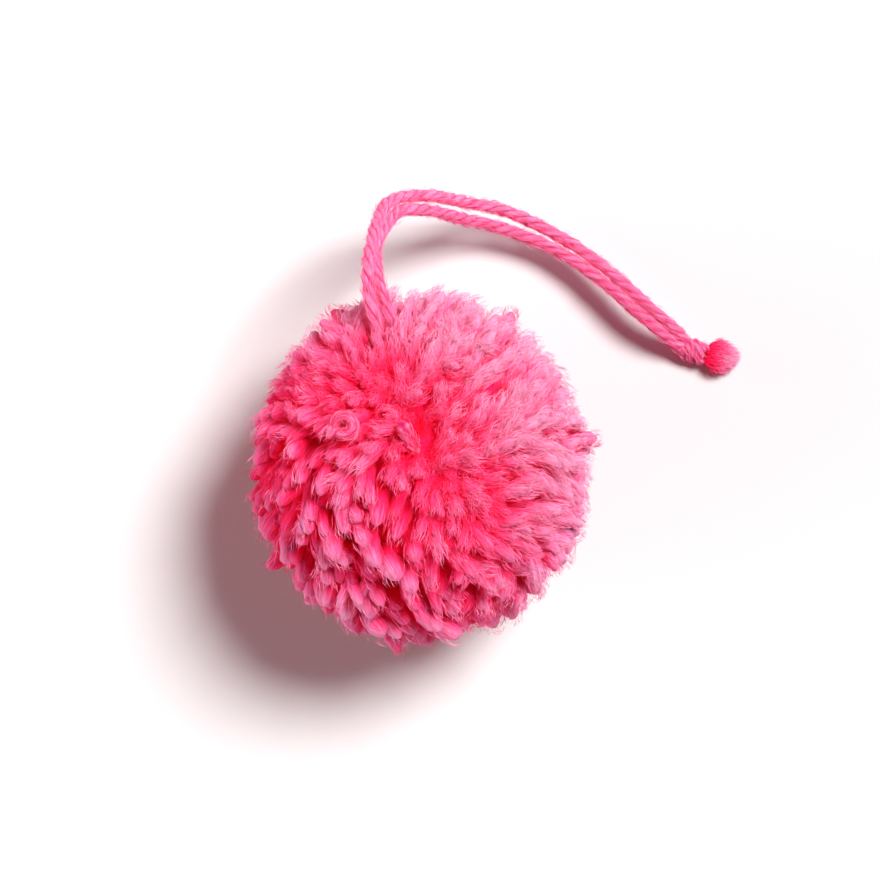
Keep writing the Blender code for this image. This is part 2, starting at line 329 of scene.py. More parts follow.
tie = {
    "diameter": 3.0,
    "plies": 3,
    "plyHalfWidth": 0.79,
    "plyOffCentre": 0.63,
    "turn": 11.0,  # one full turn of the plies, laid to the left
    "turnAtBall": 16.0,
    "looseLength": 40.0,
    "ringSpacing": 0.62,
    "plySides": 8,
    "plyWidthVaries": 0.12,
    "plyWidthStep": 5,  # rings from one thick or thin place to the next
    "plyShadeVaries": 0.05,
    "fibres": 7500,
    "route": (
        # x, y, z, apart, roll (degrees)
        (-5.1, 22.5, 54.4, 3.3, 0),
        (-5.9, 25.8, 56.9, 3.3, 0),
        (-6.6, 28.6, 59.0, 3.3, 5),
        (-7.3, 31.6, 60.4, 3.3, 10),
        (-8.2, 35.0, 60.7, 3.3, 20),
        (-9.2, 38.8, 59.7, 3.3, 32),
        (-9.9, 43.0, 57.5, 3.3, 48),
        (-10.0, 47.4, 54.2, 3.3, 65),
        (-9.7, 51.6, 50.0, 3.3, 74),
        (-8.8, 55.4, 45.4, 3.3, 66),
        (-7.4, 59.0, 40.5, 3.4, 42),
        (-5.3, 61.9, 36.0, 3.0, 18),
        (-2.0, 63.3, 31.5, 3.1, 5),
        (3.7, 64.0, 25.0, 3.6, 0),
        (11.5, 63.6, 14.8, 4.0, 0),
        (19.9, 62.5, 9.4, 4.3, 0),
        (29.9, 58.7, 7.4, 3.5, 0),
        (38.8, 53.5, 7.8, 3.1, 0),
        (47.1, 46.9, 9.2, 2.9, 0),
        (52.0, 42.3, 9.8, 2.9, 0),
        (56.0, 38.9, 9.4, 2.8, 0),
        (59.7, 36.0, 7.8, 2.7, 0),
        (62.2, 34.0, 5.7, 2.5, 0),
        (64.7, 32.3, 3.7, 2.0, 0),
    ),
}


def curveThrough(rows, steps):
    # Rows read from one smooth Catmull-Rom curve through these rows.
    rows = np.array(rows, float)
    rows = np.vstack([2 * rows[0] - rows[1], rows, 2 * rows[-1] - rows[-2]])
    t = (np.arange(steps) / steps)[:, None]
    found = [
        0.5 * (2 * start + (end - before) * t
               + (2 * before - 5 * start + 4 * end - after) * t**2
               + (3 * start - before - 3 * end + after) * t**3)
        for before, start, end, after in zip(rows, rows[1:], rows[2:], rows[3:])
    ]
    return np.vstack([*found, rows[-2]])


def lengthsAlong(points):
    return np.concatenate([[0], np.cumsum(np.linalg.norm(np.diff(points, axis=0), axis=1))])


def evenlySpaced(points, spacing):
    along = lengthsAlong(points)
    wanted = np.linspace(0, along[-1], round(along[-1] / spacing) + 1)
    return np.stack([np.interp(wanted, along, points[:, axis]) for axis in range(3)], axis=1)


def runLine(side):
    # Middle line of one run: side is 1 for the outer run and -1 for the inner one.
    rows = curveThrough(tie["route"], 12)
    middles = rows[:, :3] * mm
    tangents = unit(np.gradient(middles, axis=0))
    left = unit(np.cross([0, 0, 1], tangents))
    over = np.cross(tangents, left)
    roll = np.radians(rows[:, 4:5])
    offset = (left * np.cos(roll) + over * np.sin(roll)) * side * rows[:, 3:4] / 2 * mm
    return evenlySpaced(middles + offset, tie["ringSpacing"] * mm)


def carriedSides(points, first=(0.3, 0.2, 1.0)):
    # Two directions across a line at each point, carried along it without turning.
    tangents = unit(np.gradient(points, axis=0))
    side = np.array(first, float)
    sides = []
    for tangent in tangents:
        side = side - tangent * (side @ tangent)
        side = side / np.linalg.norm(side)
        sides.append(side)
    sides = np.array(sides)
    return sides, np.cross(tangents, sides)


def plyCentres(points, turns, offCentre):
    # Middle lines of the three plies round one strand, and their own sides; a growing turn here goes left.
    sideA, sideB = carriedSides(points)
    lines = []
    for ply in range(tie["plies"]):
        angle = (-turns + 2 * math.pi * ply / tie["plies"])[:, None]
        lines.append(points + (sideA * np.cos(angle) + sideB * np.sin(angle)) * offCentre)
    sides = [carriedSides(line) for line in lines]
    return np.array(lines), np.array([pair[0] for pair in sides]), np.array([pair[1] for pair in sides])


def strandTurns(points, turn, turnAtStart, looseLength):
    along = lengthsAlong(points)
    loose = 1 - rise(along, 0, looseLength)
    lengths = turn + (turnAtStart - turn) * loose
    return np.concatenate([[0], np.cumsum(2 * math.pi * np.diff(along) / lengths[1:])])


def smoothNoise(count, length, step):
    # Even random values along a line, read from coarser ones.
    coarse = rng.uniform(-1, 1, (count, int(length / step) + 3))
    at = np.linspace(0, coarse.shape[1] - 1.001, length)
    low = at.astype(int)
    share = at - low
    share = share * share * (3 - 2 * share)
    return coarse[:, low] * (1 - share) + coarse[:, low + 1] * share


def strandPiece(name, points, turns, plyHalf, offCentre, material, deeper=0.0):
    # Three plies swept as closed tubes with rounded ends.
    lines, sideA, sideB = plyCentres(points, turns, offCentre)
    shape = spindle(tie["plySides"], len(points) - 1)
    ends = np.minimum(np.arange(len(points)), np.arange(len(points))[::-1])
    roundedRings = 2
    rounded = np.sqrt(1 - (1 - np.clip(ends / roundedRings, 0, 1)) ** 2)
    uneven = smoothNoise(len(lines), len(points), tie["plyWidthStep"])
    widths = plyHalf * rounded * (1 + tie["plyWidthVaries"] * uneven)
    swept = sweepCopies(shape, lines, sideA, sideB, widths)
    # Painted shade: the colour is darker towards the strand's axis, in the grooves between the plies, and
    # palest on the plies' outer faces, as a painted highlight.
    axis = points[shape["ring"]]
    fromAxis = np.linalg.norm(swept - axis, axis=-1)
    deepest = 0.25 * offCentre
    depth = np.clip(1 - (fromAxis - deepest) / (offCentre + plyHalf - deepest), 0, 1) + deeper
    along = lengthsAlong(points)[shape["ring"]] / mm
    ring = shape["around"]
    own = 10 * np.arange(len(lines))[:, None]  # so that no two plies have the same streaks
    laid = np.stack([
        np.broadcast_to(np.cos(ring) * plyHalf / mm, depth.shape) + own,
        np.broadcast_to(np.sin(ring) * plyHalf / mm, depth.shape),
        np.broadcast_to(along, depth.shape),
    ], axis=-1)
    varies = tie["plyShadeVaries"]
    shade = np.broadcast_to(rng.uniform(-varies, varies, (len(lines), 1)), depth.shape)
    return makePiece(name, shape, swept, material, depth=depth, shade=shade, laid=laid)


def readAxis(points, places):
    at = np.arange(len(points))
    return np.stack([np.interp(places, at, points[:, axis]) for axis in range(3)], axis=-1)


strandFuzz = {
    "length": (1.2, 3.2),
    "halfWidth": 0.062,
    "widthVaries": (0.7, 1.3),
    "turns": (0.2, 0.9),  # how far a fibre goes round its ply (radians), and how much that varies
    "lies": (0.98, 1.12),  # shares of the ply's half width
    "flare": 0.20,
    "flareAtStart": 0.25,
    "wander": 0.14,
    "depth": 0.30,  # where an outer fibre's colour is on the ramp
    # painted shade: how much darker a fibre is drawn nearer the strand's axis
    "deeperInside": 1.3,
    "palerOutside": 0.3,
    "shadeVaries": 0.17,
}


def strandFibres(name, points, turns, plyHalf, offCentre, count, material, lowest=0.0, deeper=0.0):
    # Loose fibres lying along the plies, some of them standing off.
    lines, sideA, sideB = plyCentres(points, turns, offCentre)
    shape = spindle(3, 2)
    stations = np.arange(3) / 2
    along = lengthsAlong(points)
    ply = rng.integers(0, len(lines), count)
    length = rng.uniform(*strandFuzz["length"], count) * mm
    start = rng.uniform(0, 1, count) * (along[-1] - length)
    places = (start[:, None] + length[:, None] * stations) / along[-1] * (len(points) - 1)
    low = np.clip(places.astype(int), 0, len(points) - 2)
    share = (places - low)[..., None]

    def read(values):
        rows = values[ply[:, None], low]
        return rows + (values[ply[:, None], low + 1] - rows) * share

    line, acrossA, acrossB = read(lines), unit(read(sideA)), unit(read(sideB))
    angle = rng.uniform(0, 2 * math.pi, count)[:, None]
    angle = angle + rng.normal(*strandFuzz["turns"], count)[:, None] * stations
    flare = rng.exponential(strandFuzz["flare"], count)[:, None] * mm
    flare = flare * (strandFuzz["flareAtStart"] + stations)
    wander = rng.normal(0, strandFuzz["wander"], (count, 3)) * mm
    out = acrossA * np.cos(angle)[..., None] + acrossB * np.sin(angle)[..., None]
    around = acrossB * np.cos(angle)[..., None] - acrossA * np.sin(angle)[..., None]
    radius = plyHalf * rng.uniform(*strandFuzz["lies"], count)[:, None] + flare
    centres = line + out * radius[..., None] + around * wander[..., None]
    centres[..., 2] = np.maximum(centres[..., 2], lowest)
    width = strandFuzz["halfWidth"] * mm * rng.uniform(*strandFuzz["widthVaries"], count)[:, None]
    widths = width * np.array([0.0, 1.0, 0.0])
    swept = sweepCopies(shape, centres, out, around, widths)
    swept[..., 2] = np.maximum(swept[..., 2], 0)
    # Painted shade: fibres nearer the strand's axis are drawn further along the ramp, darker; those that
    # stand off are drawn paler.
    inward = 1 - np.linalg.norm(centres - readAxis(points, places), axis=-1) / (offCentre + plyHalf)
    place = strandFuzz["depth"] + strandFuzz["deeperInside"] * inward
    place = place - strandFuzz["palerOutside"] * np.clip(flare / mm, 0, 1) + deeper
    depth = np.clip(place, 0, 1)[:, shape["ring"]]
    shade = np.broadcast_to(rng.normal(0, strandFuzz["shadeVaries"], (count, 1)), depth.shape)
    return makePiece(name, shape, swept, material, depth=depth, shade=shade)


def tieRuns():
    pieces = []
    for label, side in (("outer", 1), ("inner", -1)):
        points = runLine(side)
        turns = strandTurns(points, tie["turn"] * mm, tie["turnAtBall"] * mm, tie["looseLength"] * mm)
        sizes = (tie["plyHalfWidth"] * mm, tie["plyOffCentre"] * mm)
        run = strandPiece(f"tieRun.{label}", points, turns, *sizes, tieYarn)
        fuzz = strandFibres(f"tieFuzz.{label}", points, turns, *sizes, tie["fibres"], tieFibreYarn)
        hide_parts(f"tie_run_{label}")
        pieces.append((run, fuzz, points))
    return pieces


# Overhand knot of both runs, pulled tight, lying on the surface

knot = {
    "at": (66.1, 31.4, 2.9),
    "heading": -20,
    "halfLength": 3.5,
    "wrapRadius": 1.7,
    "wrapTurns": 1.6,
    "startAngle": 0.5,  # radians
    "narrowsBy": 0.25,  # towards both ends
    "ringSpacing": 0.4,
    "lowest": 0.1,
    "plyHalfWidth": 0.62,
    "plyOffCentre": 0.58,
    "turn": 8.0,
    "fibres": 1000,
    "deeper": 0.12,
}


def knotPieces():
    heading = math.radians(knot["heading"])
    ahead = np.array([math.cos(heading), math.sin(heading), 0])
    left = np.array([-math.sin(heading), math.cos(heading), 0])
    up = np.array([0, 0, 1.0])
    middle = np.array(knot["at"])
    parts, fuzz = [], []
    for label, phase in (("over", 0.0), ("under", math.pi)):
        t = np.linspace(0, 1, 60)
        angle = (phase + knot["startAngle"] + 2 * math.pi * knot["wrapTurns"] * t)[:, None]
        shift = (2 * t - 1)[:, None] * knot["halfLength"]
        radius = knot["wrapRadius"] * (1 - knot["narrowsBy"] * (2 * t[:, None] - 1) ** 4)
        points = middle + ahead * shift + (left * np.cos(angle) + up * np.sin(angle)) * radius
        points = evenlySpaced(points * mm, knot["ringSpacing"] * mm)
        turns = strandTurns(points, knot["turn"] * mm, knot["turn"] * mm, mm)
        sizes = (knot["plyHalfWidth"] * mm, knot["plyOffCentre"] * mm)
        parts.append(strandPiece(f"tieKnot.{label}", points, turns, *sizes, tieYarn, knot["deeper"]))
        fuzz.append(strandFibres(
            f"tieKnotFuzz.{label}", points, turns, *sizes, knot["fibres"], tieFibreYarn,
            knot["lowest"] * mm, knot["deeper"],
        ))
    return parts + fuzz


# Brushed ends after the knot: the six cut plies, opened out

tuft = {
    "at": (69.0, 30.7, 2.9),
    "heading": -12,
    "middle": 5.0,  # from the neck to the middle of the puff
    "radius": (4.2, 3.7, 2.9),  # ahead, across and up
    "plies": 6,
    "plyHalfWidths": (0.0, 0.9, 1.1, 1.3, 1.35, 1.2, 0.8, 0.0),
    "plyReach": 0.42,
    "plyAhead": 0.35,
    "plyDepths": (0.75, 0.15),  # on the colour ramp, at the neck and at the end
    "plyShadeVaries": 0.08,
    "streaksOn": (1.3, 8.0),  # radius and length that the streaks are laid out on
    "fan": (0.1, 1.3, 1.3),  # how soon the plies and fibres spread, ahead, across and up
    "fibres": 3600,
    "fibreHalfWidth": 0.07,
    "fibreWidthVaries": (0.7, 1.3),
    "fibreStart": (0.1, 0.7),
    "fibreDepths": (1.15, -0.20),
    "fibreShadeVaries": 0.1,
    "ahead": 0.5,  # how many more fibres end ahead than behind
    "uneven": 0.09,
    "fluff": 0.05,
    "wander": 0.2,
    "lowest": 0.1,
}


def tuftPieces():
    heading = math.radians(tuft["heading"])
    axes = np.array([
        [math.cos(heading), math.sin(heading), 0], [-math.sin(heading), math.cos(heading), 0], [0, 0, 1],
    ])
    neck, radii = np.array(tuft["at"]), np.array(tuft["radius"])

    def lineTo(ends, t):
        # From the neck out to each end, which is a direction in the puff, in shares of its radius.
        middle = np.array([tuft["middle"], 0, 0])
        tips = (middle + ends * radii)[:, None]
        lean = (ends * radii * np.array(tuft["fan"]))[:, None]
        t = t[..., None]
        return neck + (tips * t + lean * t * (1 - t)) @ axes

    count = tuft["plies"]
    turn = 2 * math.pi * (np.arange(count) + 0.5) / count
    ahead = np.full(count, tuft["plyAhead"])
    ends = np.stack([ahead, np.cos(turn), np.sin(turn)], axis=1) * tuft["plyReach"]
    rings = len(tuft["plyHalfWidths"]) - 1
    shape = spindle(8, rings)
    t = np.broadcast_to(np.arange(rings + 1) / rings, (count, rings + 1))
    centres = lineTo(ends, t) * mm
    sideA, sideB = np.broadcast_to(axes[1], centres.shape), np.broadcast_to(axes[2], centres.shape)
    widths = np.broadcast_to(np.array(tuft["plyHalfWidths"]) * mm, t.shape)
    swept = sweepCopies(shape, centres, sideA, sideB, widths)
    swept[..., 2] = np.maximum(swept[..., 2], 0)
    along = t[:, shape["ring"]]
    neckDepth, endDepth = tuft["plyDepths"]
    depth = neckDepth + (endDepth - neckDepth) * along
    around = np.broadcast_to(shape["around"], depth.shape)
    own = 5 * np.arange(count)[:, None]  # so that no two plies have the same streaks
    half, length = tuft["streaksOn"]
    laid = np.stack([np.cos(around) * half + own, np.sin(around) * half + own, along * length], axis=-1)
    varies = tuft["plyShadeVaries"]
    shade = np.broadcast_to(rng.uniform(-varies, varies, (count, 1)), depth.shape)
    body = makePiece("tieTuft.plies", shape, swept, tieYarn, depth=depth, shade=shade, laid=laid)

    # The opened ends are paler than the tie, so their fibres have the ball's colours.
    count = tuft["fibres"]
    shape = spindle(3, 3)
    ends = unit(rng.normal(0, 1, (count, 3)) + np.array([tuft["ahead"], 0, 0]))
    uneven = 1 + tuft["uneven"] * wavesOver(ends, 3.5, 5)[:, None]
    within = rng.uniform(0.2, 1, (count, 1)) ** 0.4  # most of them end near the outside
    ends = ends * uneven * (within + rng.exponential(tuft["fluff"], (count, 1)))
    first = rng.uniform(*tuft["fibreStart"], count)[:, None]
    t = first + (1 - first) * np.arange(4) / 3
    centres = (lineTo(ends, t) + rng.normal(0, tuft["wander"], (count, 4, 3))) * mm
    out = unit(np.cross(centres[:, -1] - centres[:, 0], axes[2]))[:, None]
    out = np.broadcast_to(out, centres.shape)
    around = np.cross(unit(centres[:, -1:] - centres[:, :1]), out)
    centres[..., 2] = np.maximum(centres[..., 2], tuft["lowest"] * mm)
    widths = tuft["fibreHalfWidth"] * mm * rng.uniform(*tuft["fibreWidthVaries"], count)[:, None]
    widths = widths * np.array([0, 1, 0.8, 0])
    swept = sweepCopies(shape, centres, out, around, widths)
    swept[..., 2] = np.maximum(swept[..., 2], 0)
    ahead = (centres / mm - neck) @ axes[0] / (tuft["middle"] + radii[0])
    neckDepth, endDepth = tuft["fibreDepths"]
    depth = np.clip(neckDepth + (endDepth - neckDepth) * ahead, 0, 1)[:, shape["ring"]]
    shade = np.broadcast_to(rng.normal(0, tuft["fibreShadeVaries"], (count, 1)), depth.shape)
    fuzz = makePiece("tieTuft.fibres", shape, swept, fibreYarn, depth=depth, shade=shade)
    return [body, fuzz]


runs = tieRuns()
knotParts = knotPieces()
tuftParts = tuftPieces()
for part in knotParts:
    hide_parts("tie_knot")
for part in tuftParts:
    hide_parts("tie_tuft")
for run, fuzz, points in runs:
    for piece in (run, fuzz):
        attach(piece, "root")
for part in knotParts + tuftParts:
    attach(part, "root")
print("tie, knot and brushed ends made")


# Ball: locks of cut yarn that stand out of a bound core and lie over away from a parting

ball = {
    "centreHeight": 37.0,
    "coreRadius": 32.0,
    "coreRipple": 0.5,
    "rootRadius": 22.0,
    "locks": 800,
    "reach": 39.8,
    "reachVaries": 1.8,
    "lean": 13.5,  # how far a lock's end is carried sideways from its root
    "leanVaries": 0.22,
    "bend": 1.7,
    "headingVaries": 20,
    "headingWaves": 22,
    "curl": 1.8,
    "crimp": 0.8,
    "halfWidth": 2.05,
    "halfWidthVaries": 0.20,
    "firmWider": 0.10,  # how much wider the locks are at the lower left
    "bodyShare": 0.80,  # the firm middle of a lock, under its loose fibres
    "bodyShrinks": 0.14,  # where the locks are brushed out
    "bodyEnd": 0.955,
    "ringsVary": 0.09,
    "bulges": 0.10,
    "streakLength": 18.0,
    "lowest": 1.65,  # of a lock's middle line, so that its fibres reach the surface
    "topReach": 1.6,  # how much further the locks stand out beside the tie
    "topAt": (-0.1, 1, 0),
    "topFrom": (0.6, 0.95),
    "leftReach": -1.8,
    "leftFrom": (0.4, 0.95),
    "standing": (
        # x, y, z of a direction, reach, lean, half width: six locks that stand out of the outline, and
        # two that fill a gap
        (0.50, 0.85, 0.05, 44.0, 4, 2.0),
        (0.98, 0.19, 0.05, 43.5, 5, 2.2),
        (-0.10, -0.99, 0.02, 43.5, 8, 2.3),
        (-0.83, -0.56, 0.00, 42.0, 6, 2.2),
        (-0.99, -0.05, 0.00, 39.5, 5, 2.0),
        (-0.43, 0.90, 0.05, 43.2, 3, 2.3),
        (0.35, 0.27, 0.90, 39.2, 9, 2.4),
        (0.41, 0.33, 0.85, 39.6, 10, 2.3),
    ),
    "standingDeeper": 0.25,  # how much further along the ramp these eight are
    "shadeVaries": 0.06,
    "swirl": 48,  # how far the locks at the lower left turn round the ball
    "swirlAt": (-0.7, -0.7, 0.1),
    "swirlFrom": (-0.1, 0.75),  # cosines of the angle from there: none and all of it
    "firmFrom": (0.2, 0.8),
    "brushedAndPaintedLightAt": (0.66, 0.62, 0.25),  # where the ends are brushed out most, and where the yarn is drawn paler as painted light
    "brushedFrom": (0.2, 0.9),
    "tieClear": 0.6,  # between a lock's middle and the tie
    "tieClearUpTo": 0.78,  # share of a lock's length; softer ends may close round the tie
}
parting = {
    "rows": (
        # x, y, z of a direction from the ball's centre, and how much shorter the locks are there
        (-0.42, 0.56, 0.71, 1.0),
        (-0.30, 0.50, 0.81, 2.5),
        (-0.11, 0.40, 0.91, 3.0),
        (-0.03, 0.12, 0.99, 3.5),
        (0.19, -0.13, 0.97, 3.0),
        (0.34, -0.33, 0.88, 1.5),
    ),
    "width": 9,
    "leanFullAt": 16,
    "leastLean": 0.5,
    "leanFades": (-0.95, -0.10),
    "fluffAngle": 26,
}
ballDepth = {  # how far along the colour ramp the yarn is
    "down": 6.5,  # how far down from the outside the painted shade goes on darkening
    # painted light: towards the lit upper right the colour changes over a deeper span, so the yarn there is
    # drawn paler
    "furtherAtPaintedLight": 5.0,
    "paintedLightFrom": (-0.35, 0.85),
    "canopy": 0.3,  # how far the outside is past the locks' own ends
    "dipShare": 0.3,  # how much of the parting's dip the outside follows, and over how many of its widths
    "dipWidths": 2.4,
    # painted shade: away from the lit upper right the yarn is drawn this much further along the ramp,
    # darker
    "firmAndPaintedShade": 0.17,
    # painted shade: near the parting the yarn is drawn this much further along the ramp, darker and more
    # saturated
    "middle": 0.36,
    "middleAngle": 44,
    "edge": 0.3,  # how much further along the ramp a lock's underside is than its outer face: painted shade
    "body": 0.02,
}
lockRings = (
    # share of the lock's length, share of its half width
    (0.00, 0.00),
    (0.02, 0.45),
    (0.40, 0.86),
    (0.65, 0.98),
    (0.82, 1.00),
    (0.92, 0.84),
    (0.975, 0.54),
    (1.00, 0.00),
)
fibreShell = (
    # share of the lock's length, share of its half width where the loose fibres lie
    (0.00, 0.50),
    (0.45, 0.82),
    (0.75, 1.00),
    (0.90, 0.98),
    (0.97, 0.88),
    (1.03, 0.62),
)
fibres = {
    "perLock": 140,
    "below": (-0.2, 0.5),  # height of a direction, and the share of them that locks lower down have
    "length": (0.05, 0.14),  # shares of a lock's length
    "start": (0.42, 0.97),
    "cut": (1.04, 0.012),  # where the lock is trimmed, and how unevenly
    "rounded": 0.05,  # how much lower it is trimmed at its edge
    "inside": 0.3,  # share of them that lie inside the lock
    "halfWidth": 0.072,
    "widthVaries": (0.7, 1.3),
    "lies": (0.84, 1.08),  # shares of the lock's half width
    "spread": 1.4,  # round the lock from its outer face (radians)
    "turns": 0.55,
    "flare": 0.11,
    "flareAtStart": 0.4,
    "wander": 0.27,
    "shade": (-0.02, 0.08),
    "fluff": 1.1,
    "firmAndPaintedShade": 0.85,  # how much less they stand off at the lower left, where each lock keeps its own shape
    "pieces": 4,
    "outline": 0.60,  # how much less they stand off round the ball's outline
    "outlineFades": (0.1, 0.7),
    "strays": 2200,
    "strayHalfWidth": 0.035,
    "strayWander": 0.5,
    "strayFlare": (2.0, 0.35),  # shape and scale of a gamma distribution
    "strayTurns": 0.9,
}
loose = {  # two strands that lie on top: a curled one and a short cut one
    "curl": {"at": (-16.0, 7.9, 74.8), "radius": 2.1, "from": 190, "to": -140, "below": 4.0},
    "cut": {"from": (0.1, 2.0, 71.0), "to": (-3.2, 8.0, 77.2)},
    "curlSizes": (0.74, 0.44),
    "cutSizes": (0.95, 0.54),
    "turn": 34.0,
    "ringSpacing": 0.4,
    "fibres": 600,
    "deeper": 0.34,
    "clear": 1.8,  # no lock's middle comes nearer than this to the cut strand or the curl's hole
}
ballCentre = np.array([0, 0, ball["centreHeight"]])


def nearParting(directions):
    # Angle from each direction to the parting, and how much shorter the locks are at its nearest point.
    rows = np.array(parting["rows"])
    points, dips = unit(rows[:, :3]), rows[:, 3]
    bestAngle = np.full(len(directions), 9.0)
    bestDip = np.zeros(len(directions))
    for start, end, dip, nextDip in zip(points, points[1:], dips, dips[1:]):
        span = end - start
        share = np.clip((directions - start) @ span / (span @ span), 0, 1)
        nearest = unit(start + share[:, None] * span)
        angle = np.arccos(np.clip((nearest * directions).sum(axis=1), -1, 1))
        closer = angle < bestAngle
        bestAngle = np.where(closer, angle, bestAngle)
        bestDip = np.where(closer, dip + (nextDip - dip) * share, bestDip)
    return bestAngle, bestDip


def turnAbout(axes, vectors, angles):
    angles = angles[:, None]
    return vectors * np.cos(angles) + np.cross(axes, vectors) * np.sin(angles)


def lockField(directions):
    # Which way the locks lie over at each direction, and how far, from 0 to 1.
    away = np.zeros_like(directions)
    for point in unit(np.array(parting["rows"])[:, :3]):
        angle = np.arccos(np.clip(directions @ point, -1, 1))
        away += (directions - point) / (angle**2 + math.radians(parting["width"]) ** 2)[:, None]
    heading = unit(away - directions * dot(away, directions))
    swirl = towards(directions, ball["swirlAt"], *ball["swirlFrom"])
    uneven = np.radians(ball["headingWaves"]) * wavesOver(directions, 9.0, 3)
    heading = turnAbout(directions, heading, np.radians(ball["swirl"]) * swirl + uneven)
    angle, _ = nearParting(directions)
    amount = rise(angle, 0, math.radians(parting["leanFullAt"]))
    amount = parting["leastLean"] + (1 - parting["leastLean"]) * amount
    return heading, amount * rise(directions[:, 2], *parting["leanFades"])


def spreadDirections(count):
    index = np.arange(count)
    z = 1 - (2 * index + 1) / count
    turn = index * math.pi * (3 - math.sqrt(5))
    flat = np.sqrt(1 - z * z)
    even = np.stack([flat * np.cos(turn), flat * np.sin(turn), z], axis=1)
    return unit(even + rng.normal(0, 0.02, even.shape))


def makeLocks():
    # A direction is where the lock's end is. Its root lies back from there, so the ends are spread evenly.
    standing = np.array(ball["standing"])
    directions = np.vstack([spreadDirections(ball["locks"]), unit(standing[:, :3])])
    count = len(directions)
    heading, amount = lockField(directions)
    heading = turnAbout(directions, heading, np.radians(ball["headingVaries"]) * rng.normal(0, 1, count))
    angle, dip = nearParting(directions)
    dip = dip * (1 - rise(angle, 0, math.radians(2 * parting["width"])))
    lean = ball["lean"] * amount * (1 + ball["leanVaries"] * rng.normal(0, 1, count))
    reach = ball["reach"] + ball["reachVaries"] * rng.uniform(-1, 1, count) - dip
    reach = reach + ball["topReach"] * rise(directions @ np.array(ball["topAt"]), *ball["topFrom"])
    reach = reach + ball["leftReach"] * rise(-directions[:, 0], *ball["leftFrom"])
    firmAndPaintedShade = towards(directions, ball["swirlAt"], *ball["firmFrom"])
    halfWidth = ball["halfWidth"] * (1 + ball["halfWidthVaries"] * rng.normal(0, 1, count))
    halfWidth = halfWidth * (1 + ball["firmWider"] * firmAndPaintedShade)
    reach[-len(standing):], lean[-len(standing):], halfWidth[-len(standing):] = standing[:, 3:].T
    below = ball["lowest"] - (ball["centreHeight"] + directions[:, 2] * reach)
    reach = reach - np.where(below > 0, below / np.maximum(-directions[:, 2], 0.2), 0)
    deeper = ball["standingDeeper"] * (np.arange(count) >= ball["locks"])
    locks = {
        "direction": directions,
        "heading": heading,
        "side": np.cross(directions, heading),
        "lean": lean / ball["reach"],
        "curl": rng.normal(0, ball["curl"], count) / ball["reach"],
        "crimp": rng.normal(0, ball["crimp"], count) / ball["reach"],
        "phase": rng.uniform(0, 2 * math.pi, count),
        "reach": reach,
        "halfWidth": halfWidth,
        "shade": rng.normal(0, ball["shadeVaries"], count) + deeper,
        "fluff": fluffOf(directions),
    }
    return keepClear(locks)


def fluffOf(directions):
    # How far the fibres stand off: most at the upper right and along the parting, where locks run together.
    angle, _ = nearParting(directions)
    middle = 1 - rise(angle, 0, math.radians(parting["fluffAngle"]))
    brushedAndPaintedLight = towards(directions, ball["brushedAndPaintedLightAt"], *ball["brushedFrom"])
    firmAndPaintedShade = towards(directions, ball["swirlAt"], *ball["firmFrom"])
    fluff = 1 + fibres["fluff"] * np.clip(middle + brushedAndPaintedLight, 0, 1) - fibres["firmAndPaintedShade"] * firmAndPaintedShade
    outline = 1 - rise(np.abs(directions[:, 2]), *fibres["outlineFades"])
    return fluff * (1 - fibres["outline"] * outline)


def lockLine(locks, t):
    # Points of each lock's middle line at these shares of its length, in mm. t has a row for each lock.
    def each(name):
        return locks[name].reshape(len(locks["reach"]), 1, -1)

    t = t[..., None]
    direction, heading, side = each("direction"), each("heading"), each("side")
    length = each("reach") - ball["rootRadius"]
    wave = each("crimp") * np.sin(9 * t + each("phase"))
    back = heading * each("lean") * (t ** ball["bend"] - 1)
    aside = side * (each("curl") * (t**3 - 1) + wave)
    return ballCentre + unit(direction + back + aside) * (ball["rootRadius"] + length * t)


def keepClear(locks):
    # Leaves out the locks that the tie or the cut strand would run through, and those in the curl's hole.
    cutLine = np.linspace(loose["cut"]["from"], loose["cut"]["to"], 12)
    curlHole = np.array(loose["curl"]["at"]) + np.linspace(0, 3, 4)[:, None] * (0, 0, 1)
    tieClear = tie["diameter"] / 2 + ball["tieClear"]
    spaces = [(points[::2] / mm, tieClear, ball["tieClearUpTo"]) for _, _, points in runs]
    spaces += [(cutLine, loose["clear"], 1.0), (curlHole, loose["clear"], 1.0)]
    keep = np.ones(len(locks["reach"]), bool)
    for points, clear, upTo in spaces:
        middles = lockLine(locks, np.broadcast_to(np.linspace(0.3, upTo, 12), (len(keep), 12)))
        for point in points:
            keep &= np.linalg.norm(middles - point, axis=-1).min(axis=1) > clear
    print(f"  {(~keep).sum()} locks left out")
    return chosen(locks, keep)


def chosen(locks, index):
    return {name: values[index] for name, values in locks.items()}


def lockSides(locks, t):
    # Two directions across each lock at these shares of its length: to its outer face, and along its side.
    step = 0.02
    tangent = unit(lockLine(locks, t + step) - lockLine(locks, np.maximum(t - step, 0)))
    side = np.broadcast_to(locks["side"][:, None], tangent.shape)
    side = unit(side - tangent * dot(side, tangent))
    return np.cross(tangent, side), -side


